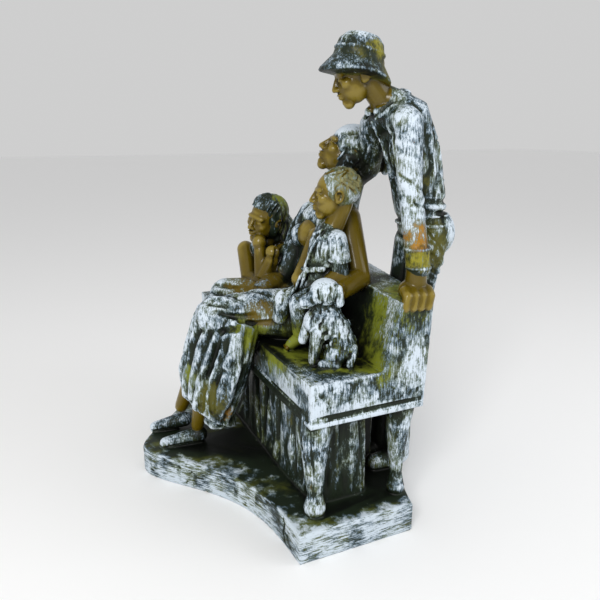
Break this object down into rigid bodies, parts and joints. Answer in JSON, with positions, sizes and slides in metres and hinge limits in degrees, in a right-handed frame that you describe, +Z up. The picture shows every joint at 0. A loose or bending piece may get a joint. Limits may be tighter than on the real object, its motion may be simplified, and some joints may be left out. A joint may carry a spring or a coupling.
{
  "type": "resin family statue",
  "caption": "Painted cast resin statue of a seated mother with children and a dog on a couch, a father leaning over its back, on a plinth with a rounded apron.",
  "frame": {"origin": "on the underside, below the middle of the couch's length and depth", "axes": "+X along the couch toward the end with the father, -Y the way the figures face, +Z up"},
  "size_m": [0.238, 0.1875, 0.2991],
  "materials": {
    "painted_resin": "white dry-brushed over dark green and black, bronze-brown skin, glossy varnish"
  },
  "bodies": {
    "root": {"family_statue": "painted_resin"}
  },
  "joints": []
}
